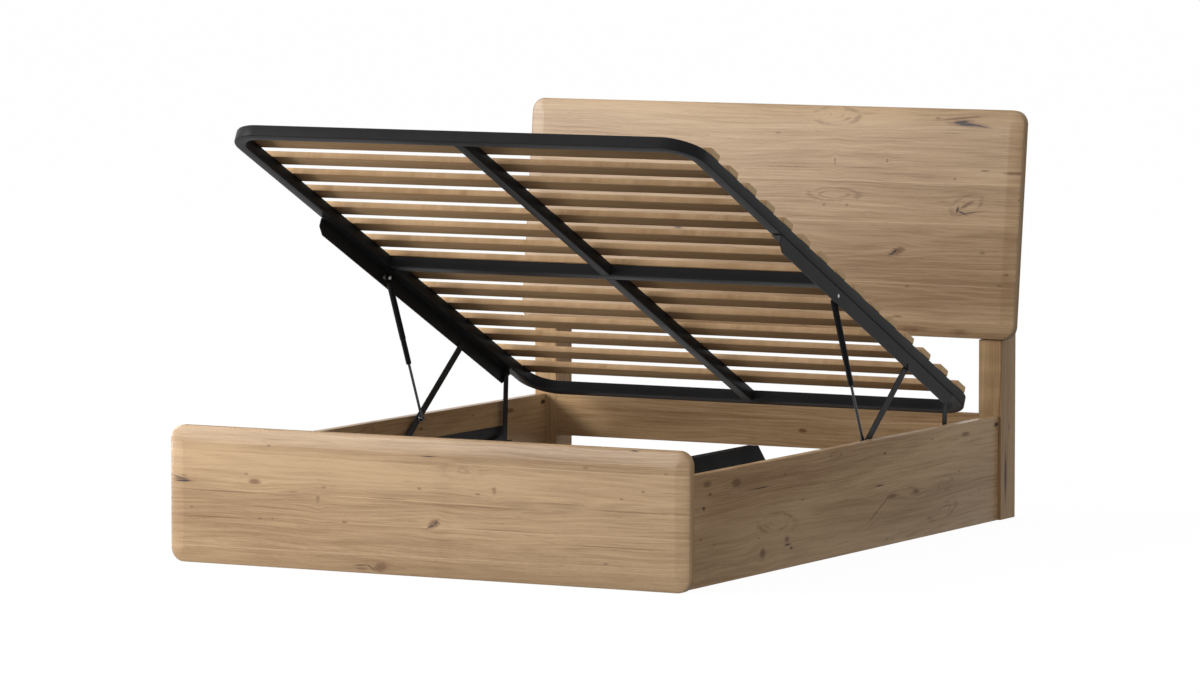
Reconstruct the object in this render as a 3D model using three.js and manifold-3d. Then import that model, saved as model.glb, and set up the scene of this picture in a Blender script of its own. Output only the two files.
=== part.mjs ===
// Ottoman bed with a boarded box. The slatted platform stands open, carried each side by a long
// cranked front link, a short cranked rear link and a two-stage gas strut.
// Millimetres, +Z up, +Y towards the headboard, origin on the floor under the middle of the bed.
import * as THREE from 'three';
import { mergeVertices } from 'three/examples/jsm/utils/BufferGeometryUtils.js';
import Module from 'manifold-3d';

const wasm = await Module();
wasm.setup();

const overrun = 1;
const weld = 0.001;
const turnedGap = 0.3;
const runningFit = 0.05;
const arcSteps = 10;
const roundSteps = 20;
const fitSteps = 32;
const smallArcSteps = 3;
const screwSteps = 10;

// Box boards
const frameHalfWidth = 742;
const frameLength = 2001;
const sideClearance = 6;
const sideInner = frameHalfWidth + sideClearance;
const sideThickness = 28;
const sideOuter = sideInner + sideThickness;
const footboardOverhang = 44;
const footboardWidth = 2 * (sideOuter + footboardOverhang);
const footboardHeight = 384;
const footboardThickness = 30;
const boardCornerRadius = 40;
const bevelWidth = 38;
const bevelDepth = 4;
const sideHeight = 307.6;
const edgeChamfer = 1.2;
const frameEndClearance = 16;
const legFront = footboardThickness + frameLength + frameEndClearance;
const legDepth = 98.5;
const legWidth = 74;
const legStep = 8.5;
const legOuter = sideOuter + legStep;
const legTop = 1000;
const rearRailBottom = 183;
const rearRailTop = 312;
const rearRailThickness = 28;
const headboardOverhang = 41.5;
const headboardWidth = 2 * (legOuter + headboardOverhang);
const headboardHeight = 676.2;
const headboardThickness = 34;
const headboardLean = THREE.MathUtils.degToRad(6.59);
const headboardLap = 17.5;
const headboardFoot = { y: legFront - headboardLap, z: 536 };

// Fixed metalwork of the box
const baseBeamRight = -20;
const baseBeamWidth = 34;
const baseBeamTop = 182.5;
const baseBeamDepth = 50;
const baseBeamWall = 2;
const baseBeamReach = 53;
const baseBeamEnd = legFront + baseBeamReach;
const baseFootRadius = 20;
const baseFootPadRadius = 27;
const baseFootPadHeight = 8;
const baseFootY = 1072;
const cornerPlate = 3;
const cornerArm = 40;
const cornerBottom = 40;
const cornerTop = 160;

// Platform frame, in its own tilted axes: across, along from the foot end, up from the tube tops
const tiltAngle = THREE.MathUtils.degToRad(25.86);
const tubeWidth = 34;
const tubeHeight = 33;
const tubeWall = 2;
const bendRadius = 105;
const bowTail = 25;
const crossBeamForward = 6.9;
const crossBeamStart = (frameLength - tubeWidth) / 2 - crossBeamForward;
const centreBeamOffset = 6;
const centreBeamWidth = 32;
const slatCount = 15;
const slatRearCount = 2;
const slatWidth = 57;
const slatThickness = 18;
const slatEdgeRadius = 4;
const slatFirst = 111.8;
const slatRearPitch = 131.05;
const slatRearEnd = 94.7;
const slatPitch = (frameLength - slatFirst - slatRearEnd - slatWidth - slatRearCount * slatRearPitch)
  / (slatCount - 1 - slatRearCount);

// Plates of the lift, stacked inwards from the side panel
const plate = 3;
const layerGap = 1;
const linkHalfWidth = 12.5;
const pinRadius = 6;
const bossRadius = 8;
const pinHeadRadius = 9;
const pinHead = 2.5;
const linkSlack = 0.3;
const fromFrameEnd = { railStart: 1393, strut: 992.2, frontLink: 481.4, rearLink: 194.5, railEnd: 163 };
const upperRailStart = frameLength - fromFrameEnd.railStart;
const upperRailEnd = frameLength - fromFrameEnd.railEnd;
const upperRailDepth = 77;
const upperFlange = 2.5;
const upperBend = 4;
const upperFrontClip = { along: 26, up: 18 };
const upperRearClip = { along: 32, up: 40 };
const frontLinkTop = { along: frameLength - fromFrameEnd.frontLink, drop: 67.8 };
const rearLinkTop = { along: frameLength - fromFrameEnd.rearLink, drop: 49 };
const strutTop = { along: frameLength - fromFrameEnd.strut, drop: 54.8 };
const fromLegs = {
  rearPivot: 274.5709, frontLinkFoot: 1407, frontCrank: 867, rearCrank: 284, strutFoot: 799,
  bracketFront: 1447, bracketRear: 257, flangeRear: 223, screws: [1357, 1147, 747, 407, 287],
};
const rearPivotHeight = 387.259;
const strutFoot = { y: legFront - fromLegs.strutFoot, z: 300 };
const frontLinkCrank = { y: legFront - fromLegs.frontCrank, z: 243 };
const rearLinkCrank = { y: legFront - fromLegs.rearCrank, z: 198 };
const closedClearance = 12;
const closedFront = footboardThickness + closedClearance;
const closedHeight = 266;
const frontLinkFootY = legFront - fromLegs.frontLinkFoot;
const rearLinkFootZ = 125;

// Lower bracket
const lowerBracketFront = legFront - fromLegs.bracketFront;
const lowerBracketRear = legFront - fromLegs.bracketRear;
const lowerFlangeRear = legFront - fromLegs.flangeRear;
const lowerBracketTop = 233;
const lowerFlangeTop = 186;
const lowerFlangeReach = 7;
const earHalf = 20;
const earSlope = 14;
const earDrop = 17;
const bracketScrewRadius = 5;
const bracketScrewHeight = 1.4;
const bracketScrewZ = 216;
const bracketScrewYs = fromLegs.screws.map((back) => legFront - back);

// Gas strut
const strutInset = 18;
const strutAxis = frameHalfWidth - strutInset;
const eyeRadius = 8;
const eyeHalf = 5;
const studRadius = 4;
const studHeadRadius = 8;
const studHead = 2.2;
const studCollar = 3.4;
const studCollarRadius = 7;
const domeRadius = 6.5;
const domeHeight = 4.5;
const studEndGap = 0.5;
const outerTubeRadius = 9;
const outerTubeBore = 8.3;
const outerTubeStart = 13;
const outerBoreStart = 22;
const outerTubeEnd = 208;
const outerCrimp = 0.5;
const outerCrimpLength = 5;
const shoulder = 2.5;
const neckRadius = 5;
const innerTubeRadius = 8;
const innerTubeBore = 4.3;
const innerTubeLength = 188;
const innerTubeReach = 288;
const rodRadius = 4;
const rodLength = 205;
const rodNutRadius = 5.5;
const rodNutLength = 6;

const centreShift = (legFront + legDepth) / 2;
const cos = Math.cos(tiltAngle);
const sin = Math.sin(tiltAngle);
const frameFront = {
  y: legFront - fromLegs.rearPivot - rearLinkTop.along * cos + rearLinkTop.drop * sin,
  z: rearPivotHeight + rearLinkTop.along * sin + rearLinkTop.drop * cos,
};
const X = new THREE.Vector3(1, 0, 0);
const Y = new THREE.Vector3(0, 1, 0);
const Z = new THREE.Vector3(0, 0, 1);

const webOuter = frameHalfWidth;
const webInner = webOuter - plate;
const frontLinkOuter = webInner - layerGap;
const frontLinkInner = frontLinkOuter - plate;
const rearLinkOuter = frontLinkInner - layerGap;
const rearLinkInner = rearLinkOuter - plate;
const bracketInner = sideInner - plate;

// A point of the platform's side view in the bed's side view
function opened({ along, drop }) {
  return { y: frameFront.y + along * cos - drop * sin, z: frameFront.z - along * sin - drop * cos };
}

// Foot pivot of a link: on the perpendicular bisector of its top pivot's open and closed places
function footPivot(top, known) {
  const open = opened(top);
  const shut = { y: closedFront + top.along, z: closedHeight - top.drop };
  const mid = { y: (open.y + shut.y) / 2, z: (open.z + shut.z) / 2 };
  const way = { y: -(shut.z - open.z), z: shut.y - open.y };
  const t = known.y === undefined ? (known.z - mid.z) / way.z : (known.y - mid.y) / way.y;
  return { y: mid.y + way.y * t, z: mid.z + way.z * t };
}

const frontLinkFoot = footPivot(frontLinkTop, { y: frontLinkFootY });
const rearLinkFoot = footPivot(rearLinkTop, { z: rearLinkFootZ });

function solid(geometry) {
  const bare = geometry.clone();
  bare.deleteAttribute('normal');
  bare.deleteAttribute('uv');
  const merged = mergeVertices(bare, weld);
  const index = merged.index.array;
  const kept = [];
  for (let i = 0; i < index.length; i += 3) {
    const [a, b, c] = [index[i], index[i + 1], index[i + 2]];
    if (a !== b && b !== c && c !== a) kept.push(a, b, c);
  }
  return new wasm.Manifold(new wasm.Mesh({
    numProp: 3,
    vertProperties: new Float32Array(merged.attributes.position.array),
    triVerts: new Uint32Array(kept),
  }));
}

function surface(body) {
  const mesh = body.getMesh();
  const points = new Float32Array(mesh.vertProperties.length / mesh.numProp * 3);
  for (let i = 0; i < points.length / 3; i += 1) {
    for (let k = 0; k < 3; k += 1) points[3 * i + k] = mesh.vertProperties[i * mesh.numProp + k];
  }
  const geometry = new THREE.BufferGeometry();
  geometry.setAttribute('position', new THREE.BufferAttribute(points, 3));
  geometry.setIndex(new THREE.BufferAttribute(new Uint32Array(mesh.triVerts), 1));
  return geometry;
}

function mirrored(geometry, scale) {
  const copy = geometry.clone();
  copy.applyMatrix4(new THREE.Matrix4().makeScale(scale.x, scale.y, scale.z));
  const index = copy.index.array;
  for (let i = 0; i < index.length; i += 3) [index[i], index[i + 1]] = [index[i + 1], index[i]];
  return copy;
}

const flipX = new THREE.Vector3(-1, 1, 1);
const flipY = new THREE.Vector3(1, -1, 1);

function box(x0, x1, y0, y1, z0, z1) {
  const geometry = new THREE.BoxGeometry(x1 - x0, y1 - y0, z1 - z0);
  geometry.translate((x0 + x1) / 2, (y0 + y1) / 2, (z0 + z1) / 2);
  return solid(geometry);
}

function outline(points) {
  return new THREE.Shape(points.map(([a, b]) => new THREE.Vector2(a, b)));
}

function extruded(shape, depth) {
  return new THREE.ExtrudeGeometry(shape, { depth, bevelEnabled: false, curveSegments: arcSteps });
}

// Outline in (y, z), from x0 to x1
function sideways(shape, x0, x1) {
  const geometry = extruded(shape, x1 - x0);
  geometry.applyMatrix4(new THREE.Matrix4().makeBasis(Y, Z, X).setPosition(x0, 0, 0));
  return solid(geometry);
}

// Outline in (x, z), from y0 to y1
function lengthways(shape, y0, y1) {
  const geometry = extruded(shape, y1 - y0);
  geometry.applyMatrix4(new THREE.Matrix4().makeBasis(X, Z, Y.clone().negate()).setPosition(0, y1, 0));
  return solid(geometry);
}

// Turned piece along X at (y, z): pairs of place along X and radius
function turned(pairs, { y, z }, steps = roundSteps) {
  const ends = [[pairs[0][0], 0], ...pairs, [pairs[pairs.length - 1][0], 0]];
  const geometry = new THREE.LatheGeometry(ends.map(([x, r]) => new THREE.Vector2(r, x)), steps);
  geometry.rotateZ(-Math.PI / 2);
  geometry.translate(0, y, z);
  return solid(geometry);
}

// Domed end: half an ellipse of pairs from the tip to the full radius
function dome(tip, base, radius) {
  const steps = smallArcSteps;
  return Array.from({ length: steps }, (_, i) => {
    const turn = ((i + 1) / steps) * (Math.PI / 2);
    return [tip + (base - tip) * (1 - Math.cos(turn)), radius * Math.sin(turn)];
  });
}

// Flat strap with round ends and round bends through points of the side view
function strap(points, half, x0, x1) {
  const pieces = [];
  for (let i = 0; i + 1 < points.length; i += 1) {
    const [a, b] = [points[i], points[i + 1]];
    const length = Math.hypot(b.y - a.y, b.z - a.z);
    const shape = new THREE.Shape();
    shape.absarc(0, 0, half, Math.PI / 2, -Math.PI / 2, false);
    shape.absarc(length, 0, half, -Math.PI / 2, Math.PI / 2, false);
    const geometry = new THREE.ExtrudeGeometry(shape, { depth: x1 - x0, bevelEnabled: false, curveSegments: arcSteps });
    geometry.rotateZ(Math.atan2(b.z - a.z, b.y - a.y));
    geometry.translate(a.y, a.z, 0);
    geometry.applyMatrix4(new THREE.Matrix4().makeBasis(Y, Z, X).setPosition(x0, 0, 0));
    pieces.push(solid(geometry));
  }
  return pieces.reduce((sum, piece) => sum.add(piece));
}

// Rounded board lying in (x, z) with its wide shallow bevel on the -Y face, which stands at y = 0
function bevelledBoard(width, height, thickness) {
  const r = boardCornerRadius;
  const w = width / 2;
  const shape = new THREE.Shape();
  shape.absarc(w - r, r, r, -Math.PI / 2, 0, false);
  shape.absarc(w - r, height - r, r, 0, Math.PI / 2, false);
  shape.absarc(r - w, height - r, r, Math.PI / 2, Math.PI, false);
  shape.absarc(r - w, r, r, Math.PI, 1.5 * Math.PI, false);
  const geometry = new THREE.ExtrudeGeometry(shape, {
    depth: thickness, bevelEnabled: true, bevelThickness: bevelDepth, bevelSize: bevelWidth,
    bevelOffset: -bevelWidth, bevelSegments: 1, curveSegments: arcSteps,
  });
  geometry.applyMatrix4(new THREE.Matrix4().makeBasis(X, Z, Y.clone().negate()).setPosition(0, thickness + bevelDepth, 0));
  const back = box(-width, width, thickness, thickness + bevelWidth, -height, 2 * height);
  return solid(geometry).subtract(back);
}

// Board with small chamfers: outline in (y, z), from x0 to x1
function chamferedSideways(shape, x0, x1) {
  const geometry = new THREE.ExtrudeGeometry(shape, {
    depth: x1 - x0 - 2 * edgeChamfer, bevelEnabled: true, bevelThickness: edgeChamfer, bevelSize: edgeChamfer,
    bevelOffset: -edgeChamfer, bevelSegments: 1, curveSegments: arcSteps,
  });
  geometry.applyMatrix4(new THREE.Matrix4().makeBasis(Y, Z, X).setPosition(x0 + edgeChamfer, 0, 0));
  return solid(geometry);
}

const bed = new THREE.Group();
bed.name = 'ottoman_bed';

const woodLook = { color: 0xb59468, roughness: 0.55, metalness: 0 };
const slatLook = { color: 0xa98a63, roughness: 0.6, metalness: 0 };
const blackLook = { color: 0x1b1b1c, roughness: 0.5, metalness: 0.4 };
const linkLook = { color: 0x26262a, roughness: 0.45, metalness: 0.6 };
const brightLook = { color: 0xc9cbce, roughness: 0.2, metalness: 1 };
const plasticLook = { color: 0x161616, roughness: 0.6, metalness: 0 };

const boxPlace = new THREE.Matrix4().makeTranslation(0, -centreShift, 0);
const tilted = new THREE.Matrix4().makeBasis(X, new THREE.Vector3(0, cos, -sin), new THREE.Vector3(0, sin, cos))
  .setPosition(0, frameFront.y - centreShift, frameFront.z);

function add(name, geometry, look, place) {
  const flat = geometry.clone();
  flat.applyMatrix4(place);
  const shaded = flat.toNonIndexed();
  shaded.computeVertexNormals();
  const mesh = new THREE.Mesh(mergeVertices(shaded, weld), new THREE.MeshStandardMaterial(look));
  mesh.name = name;
  bed.add(mesh);
}

function addPair(name, body, look, place) {
  const right = surface(body);
  add(`${name}_right`, right, look, place);
  add(`${name}_left`, mirrored(right, flipX), look, place);
}

// Boards of the box
add('footboard', surface(bevelledBoard(footboardWidth, footboardHeight, footboardThickness)), woodLook, boxPlace);
addPair('side_panel', chamferedSideways(outline([
  [footboardThickness, 0], [legFront, 0], [legFront, sideHeight], [footboardThickness, sideHeight],
]), sideInner, sideOuter), woodLook, boxPlace);

const lean = { cos: Math.cos(headboardLean), sin: Math.sin(headboardLean) };
const leanTan = Math.tan(headboardLean);
const headboardBack = {
  y: headboardFoot.y + headboardThickness * lean.cos, z: headboardFoot.z - headboardThickness * lean.sin,
};
const legShelf = headboardBack.z - turnedGap;
const legSlopeAt = (z) => headboardBack.y + (z - headboardBack.z) * leanTan + turnedGap;
addPair('leg', chamferedSideways(outline([
  [legFront, 0], [legFront + legDepth, 0], [legFront + legDepth, legTop], [legSlopeAt(legTop), legTop],
  [legSlopeAt(legShelf), legShelf], [legFront, legShelf],
]), legOuter - legWidth, legOuter), woodLook, boxPlace);

add('rear_rail', surface(box(
  legWidth - legOuter, legOuter - legWidth, legFront, legFront + rearRailThickness, rearRailBottom, rearRailTop,
)), woodLook, boxPlace);

const headboardPlace = new THREE.Matrix4()
  .makeBasis(X, new THREE.Vector3(0, lean.cos, -lean.sin), new THREE.Vector3(0, lean.sin, lean.cos))
  .setPosition(0, headboardFoot.y - centreShift, headboardFoot.z);
add('headboard', surface(bevelledBoard(headboardWidth, headboardHeight, headboardThickness)), woodLook, headboardPlace);

// Centre support: an open-ended tube with its rear end cut back at 45 degrees, and its foot
const baseBeamLeft = baseBeamRight - baseBeamWidth;
const baseBeamMid = (baseBeamLeft + baseBeamRight) / 2;
const baseBeamBottom = baseBeamTop - baseBeamDepth;
const baseBeam = box(baseBeamLeft, baseBeamRight, footboardThickness, baseBeamEnd, baseBeamBottom, baseBeamTop)
  .subtract(box(baseBeamLeft + baseBeamWall, baseBeamRight - baseBeamWall, footboardThickness - overrun,
    baseBeamEnd + overrun, baseBeamBottom + baseBeamWall, baseBeamTop - baseBeamWall))
  .subtract(sideways(outline([
    [baseBeamEnd + overrun, baseBeamBottom - overrun], [baseBeamEnd + overrun, baseBeamTop + overrun],
    [baseBeamEnd - baseBeamDepth - overrun, baseBeamTop + overrun],
  ]), baseBeamLeft - overrun, baseBeamRight + overrun));
add('centre_base_beam', surface(baseBeam), blackLook, boxPlace);

const footGeometry = new THREE.LatheGeometry([
  [0, 0], [baseFootPadRadius, 0], [baseFootPadRadius, baseFootPadHeight], [baseFootRadius, baseFootPadHeight],
  [baseFootRadius, baseBeamBottom], [0, baseBeamBottom],
].map(([r, h]) => new THREE.Vector2(r, h)), roundSteps);
footGeometry.rotateX(Math.PI / 2);
footGeometry.translate(baseBeamMid, baseFootY, 0);
add('centre_foot', surface(solid(footGeometry)), plasticLook, boxPlace);

addPair('corner_bracket', box(
  sideInner - cornerPlate, sideInner, footboardThickness, footboardThickness + cornerArm, cornerBottom, cornerTop,
).add(box(
  sideInner - cornerArm, sideInner, footboardThickness, footboardThickness + cornerPlate, cornerBottom, cornerTop,
)), blackLook, boxPlace);

// Stepped pin from a plate: thick to the link, thin through it, then its head
function pivotPin(root, linkOuter, linkInner, at) {
  const step = linkOuter + linkSlack;
  const neck = linkInner - linkSlack;
  return turned([
    [neck - pinHead, pinHeadRadius - linkSlack], [neck - pinHead + linkSlack, pinHeadRadius], [neck, pinHeadRadius],
    [neck, pinRadius], [step, pinRadius], [step, bossRadius], [root + overrun, bossRadius],
  ], at, fitSteps);
}

// Lower bracket on the side panel: web with an ear round each foot pivot, a narrow shelf and screws
const flangeBottom = lowerFlangeTop - plate;
let lowerBracket = sideways(outline([
  [lowerBracketFront, lowerBracketTop], [lowerBracketFront, frontLinkFoot.z - earHalf + earSlope],
  [lowerBracketFront + earSlope, frontLinkFoot.z - earHalf],
  [frontLinkFoot.y + earHalf, frontLinkFoot.z - earHalf], [frontLinkFoot.y + earHalf + earSlope, flangeBottom],
  [rearLinkFoot.y - earHalf - earSlope, flangeBottom], [rearLinkFoot.y - earHalf, rearLinkFoot.z],
  [rearLinkFoot.y - earHalf + earSlope, rearLinkFoot.z - earDrop],
  [rearLinkFoot.y + earHalf - earSlope, rearLinkFoot.z - earDrop],
  [rearLinkFoot.y + earHalf, rearLinkFoot.z], [rearLinkFoot.y + earHalf + earSlope, flangeBottom],
  [lowerBracketRear, flangeBottom], [lowerBracketRear, lowerBracketTop],
]), bracketInner, sideInner);
lowerBracket = lowerBracket
  .add(box(sideInner - lowerFlangeReach, sideInner, lowerBracketFront, lowerFlangeRear, flangeBottom, lowerFlangeTop))
  .add(pivotPin(bracketInner, frontLinkOuter, frontLinkInner, frontLinkFoot))
  .add(pivotPin(bracketInner, rearLinkOuter, rearLinkInner, rearLinkFoot));
for (const y of bracketScrewYs) {
  lowerBracket = lowerBracket.add(turned([
    ...dome(bracketInner - bracketScrewHeight, bracketInner, bracketScrewRadius), [bracketInner + overrun, bracketScrewRadius],
  ], { y, z: bracketScrewZ }, screwSteps));
}
addPair('lower_bracket', lowerBracket, blackLook, boxPlace);

// Platform frame: a bent bow at each end, side tubes, a cross beam and two centre beams, all open tube
function bowOutline(inset, end) {
  const w = frameHalfWidth;
  const r = bendRadius;
  const c = w - r;
  const shape = new THREE.Shape();
  shape.moveTo(inset - w, end);
  shape.absarc(-c, r, r - inset, Math.PI, 1.5 * Math.PI, false);
  shape.absarc(c, r, r - inset, 1.5 * Math.PI, 2 * Math.PI, false);
  shape.lineTo(w - inset, end);
  shape.lineTo(w - tubeWidth + inset, end);
  shape.absarc(c, r, r - tubeWidth + inset, 2 * Math.PI, 1.5 * Math.PI, true);
  shape.absarc(-c, r, r - tubeWidth + inset, 1.5 * Math.PI, Math.PI, true);
  shape.lineTo(tubeWidth - w - inset, end);
  return shape;
}

const bowEnd = bendRadius + bowTail;
const bowSkin = extruded(bowOutline(0, bowEnd), tubeHeight);
const bowHollow = extruded(bowOutline(tubeWall, bowEnd + overrun), tubeHeight - 2 * tubeWall);
bowSkin.translate(0, 0, -tubeHeight);
bowHollow.translate(0, 0, tubeWall - tubeHeight);
const frontBow = surface(solid(bowSkin).subtract(solid(bowHollow)));
const rearBow = mirrored(frontBow, flipY);
rearBow.translate(0, frameLength, 0);
add('front_bow', frontBow, blackLook, tilted);
add('rear_bow', rearBow, blackLook, tilted);

function tubeAlong(x0, x1, y0, y1) {
  return box(x0, x1, y0, y1, -tubeHeight, 0).subtract(box(
    x0 + tubeWall, x1 - tubeWall, y0 - overrun, y1 + overrun, tubeWall - tubeHeight, -tubeWall));
}
addPair('side_tube', tubeAlong(
  frameHalfWidth - tubeWidth, frameHalfWidth, bowEnd + turnedGap, frameLength - bowEnd - turnedGap), blackLook, tilted);

const crossHalf = frameHalfWidth - tubeWidth - turnedGap;
const crossBeamStop = crossBeamStart + tubeWidth;
add('cross_beam', surface(box(-crossHalf, crossHalf, crossBeamStart, crossBeamStop, -tubeHeight, 0).subtract(box(
  -crossHalf - overrun, crossHalf + overrun, crossBeamStart + tubeWall, crossBeamStop - tubeWall,
  tubeWall - tubeHeight, -tubeWall))), blackLook, tilted);

const centreLeft = centreBeamOffset - centreBeamWidth / 2;
const centreRight = centreBeamOffset + centreBeamWidth / 2;
add('centre_beam_front', surface(tubeAlong(
  centreLeft, centreRight, tubeWidth + turnedGap, crossBeamStart - turnedGap)), blackLook, tilted);
add('centre_beam_rear', surface(tubeAlong(
  centreLeft, centreRight, crossBeamStop + turnedGap, frameLength - tubeWidth - turnedGap)), blackLook, tilted);

// Slats with rounded long edges
for (let i = 0; i < slatCount; i += 1) {
  const rear = Math.max(0, i - (slatCount - slatRearCount - 1));
  const start = slatFirst + (i - rear) * slatPitch + rear * slatRearPitch;
  const r = slatEdgeRadius;
  const low = turnedGap;
  const shape = new THREE.Shape();
  shape.absarc(start + slatWidth - r, low + r, r, -Math.PI / 2, 0, false);
  shape.absarc(start + slatWidth - r, low + slatThickness - r, r, 0, Math.PI / 2, false);
  shape.absarc(start + r, low + slatThickness - r, r, Math.PI / 2, Math.PI, false);
  shape.absarc(start + r, low + r, r, Math.PI, 1.5 * Math.PI, false);
  const geometry = new THREE.ExtrudeGeometry(shape, {
    depth: 2 * frameHalfWidth, bevelEnabled: false, curveSegments: smallArcSteps,
  });
  geometry.applyMatrix4(new THREE.Matrix4().makeBasis(Y, Z, X).setPosition(-frameHalfWidth, 0, 0));
  add(`slat_${String(i + 1).padStart(2, '0')}`, surface(solid(geometry)), slatLook, tilted);
}

// Upper rail: folded angle under the side tube, clipped at both ends, with the rear pivot pin
const flangeTop = -tubeHeight - turnedGap;
const angle = new THREE.Shape();
angle.moveTo(webOuter - tubeWidth, flangeTop);
angle.absarc(webOuter - upperBend, flangeTop - upperBend, upperBend, Math.PI / 2, 0, true);
angle.lineTo(webOuter, -upperRailDepth);
angle.lineTo(webInner, -upperRailDepth);
angle.lineTo(webInner, flangeTop - upperFlange);
angle.lineTo(webOuter - tubeWidth, flangeTop - upperFlange);
const rearTopAt = { y: rearLinkTop.along, z: -rearLinkTop.drop };
const frontTopAt = { y: frontLinkTop.along, z: -frontLinkTop.drop };
const strutTopAt = { y: strutTop.along, z: -strutTop.drop };
const upperRail = lengthways(angle, upperRailStart, upperRailEnd)
  .subtract(sideways(outline([
    [upperRailStart - overrun, -upperRailDepth - overrun],
    [upperRailStart + upperFrontClip.along, -upperRailDepth - overrun],
    [upperRailStart + upperFrontClip.along, -upperRailDepth],
    [upperRailStart, -upperRailDepth + upperFrontClip.up],
    [upperRailStart - overrun, -upperRailDepth + upperFrontClip.up],
  ]), webInner - overrun, webOuter + overrun))
  .subtract(sideways(outline([
    [upperRailEnd - upperRearClip.along, -upperRailDepth - overrun],
    [upperRailEnd + overrun, -upperRailDepth - overrun],
    [upperRailEnd + overrun, -upperRailDepth + upperRearClip.up],
    [upperRailEnd, -upperRailDepth + upperRearClip.up],
    [upperRailEnd - upperRearClip.along, -upperRailDepth],
  ]), webInner - overrun, webOuter + overrun))
  .add(pivotPin(webInner, rearLinkOuter, rearLinkInner, rearTopAt))
  .add(turned([[webOuter - overrun, bossRadius], [webOuter + studHead, bossRadius]], frontTopAt))
  .subtract(turned([
    [webInner - overrun, studRadius + turnedGap], [webOuter + overrun, studRadius + turnedGap],
  ], strutTopAt));
addPair('upper_rail', upperRail, blackLook, tilted);

// Stud that carries the strut's top eye, held through the upper rail
const eyeInner = strutAxis - eyeHalf;
const eyeOuter = strutAxis + eyeHalf;
addPair('strut_top_stud', turned([
  ...dome(eyeInner - turnedGap - domeHeight, eyeInner - turnedGap, domeRadius),
  [eyeInner - turnedGap, studRadius], [webInner - turnedGap - studCollar, studRadius],
  [webInner - turnedGap - studCollar, studCollarRadius], [webInner - turnedGap, studCollarRadius],
  [webInner - turnedGap, studRadius], [webOuter + turnedGap, studRadius], [webOuter + turnedGap, studHeadRadius],
  [webOuter + studHead, studHeadRadius - studEndGap],
], strutTopAt, fitSteps), brightLook, tilted);

// Links: cranked straps; the front one carries a button at its top and the strut's lower stud
const frontTopOpen = opened(frontLinkTop);
const rearTopOpen = opened(rearLinkTop);
const pinHole = pinRadius + runningFit;
const frontLink = strap([frontTopOpen, strutFoot, frontLinkCrank, frontLinkFoot], linkHalfWidth, frontLinkInner, frontLinkOuter)
  .subtract(turned([[frontLinkInner - overrun, pinHole], [frontLinkOuter + overrun, pinHole]], frontLinkFoot, fitSteps))
  .subtract(turned([
    [frontLinkInner - overrun, studRadius + turnedGap], [frontLinkOuter + overrun, studRadius + turnedGap],
  ], strutFoot))
  .add(turned([
    ...dome(frontLinkInner - studHead, frontLinkInner, pinHeadRadius), [frontLinkOuter, pinHeadRadius],
    [frontLinkOuter + studEndGap, pinHeadRadius],
  ], frontTopOpen));
addPair('front_link', frontLink, linkLook, boxPlace);

const rearLink = strap([rearTopOpen, rearLinkCrank, rearLinkFoot], linkHalfWidth, rearLinkInner, rearLinkOuter)
  .subtract(turned([[rearLinkInner - overrun, pinHole], [rearLinkOuter + overrun, pinHole]], rearTopOpen, fitSteps))
  .subtract(turned([[rearLinkInner - overrun, pinHole], [rearLinkOuter + overrun, pinHole]], rearLinkFoot, fitSteps));
addPair('rear_link', rearLink, linkLook, boxPlace);

addPair('strut_lower_stud', turned([
  [eyeOuter + studEndGap, studCollarRadius - studEndGap], [eyeOuter + 2 * studEndGap, studCollarRadius],
  [frontLinkInner - turnedGap, studCollarRadius], [frontLinkInner - turnedGap, studRadius],
  [frontLinkOuter + turnedGap, studRadius], [frontLinkOuter + turnedGap, studHeadRadius],
  [frontLinkOuter + studHead, studHeadRadius - studEndGap],
], strutFoot), brightLook, boxPlace);

// Strut, turned about its own axis from the top eye (0) to the lower eye
const strutTopOpen = opened(strutTop);
const strutLength = Math.hypot(strutFoot.y - strutTopOpen.y, strutFoot.z - strutTopOpen.z);
const strutWay = new THREE.Vector3(0, strutFoot.y - strutTopOpen.y, strutFoot.z - strutTopOpen.z).normalize();
const strutPlace = new THREE.Matrix4().makeBasis(X, strutWay, new THREE.Vector3().crossVectors(X, strutWay))
  .setPosition(strutAxis, strutTopOpen.y - centreShift, strutTopOpen.z);

function spun(pairs) {
  return solid(new THREE.LatheGeometry(pairs.map(([t, r]) => new THREE.Vector2(r, t)), roundSteps));
}

function addStrutPair(name, body, look) {
  const right = surface(body);
  right.applyMatrix4(strutPlace);
  const still = new THREE.Matrix4();
  add(`${name}_right`, right, look, still);
  add(`${name}_left`, mirrored(right, flipX), look, still);
}

const eyeAt = (t) => ({ y: t, z: 0 });
const outerTube = spun([
  [0, 0], [0, neckRadius], [outerTubeStart, neckRadius], [outerTubeStart, outerTubeRadius - shoulder],
  [outerTubeStart + shoulder, outerTubeRadius], [outerTubeEnd - outerCrimpLength, outerTubeRadius],
  [outerTubeEnd, outerTubeRadius - outerCrimp], [outerTubeEnd, outerTubeBore], [outerBoreStart, outerTubeBore],
  [outerBoreStart, 0],
])
  .add(turned([[-eyeHalf, eyeRadius], [eyeHalf, eyeRadius]], eyeAt(0)))
  .subtract(turned([
    [-eyeHalf - overrun, studRadius + runningFit], [eyeHalf + overrun, studRadius + runningFit],
  ], eyeAt(0), fitSteps));
addStrutPair('strut_cylinder', outerTube, blackLook);

const innerTubeStart = innerTubeReach - innerTubeLength;
addStrutPair('strut_inner', spun([
  [innerTubeStart, innerTubeBore], [innerTubeStart, innerTubeRadius], [innerTubeReach - outerCrimp, innerTubeRadius],
  [innerTubeReach, innerTubeRadius - outerCrimp], [innerTubeReach, innerTubeBore], [innerTubeStart, innerTubeBore],
]), blackLook);

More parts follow.
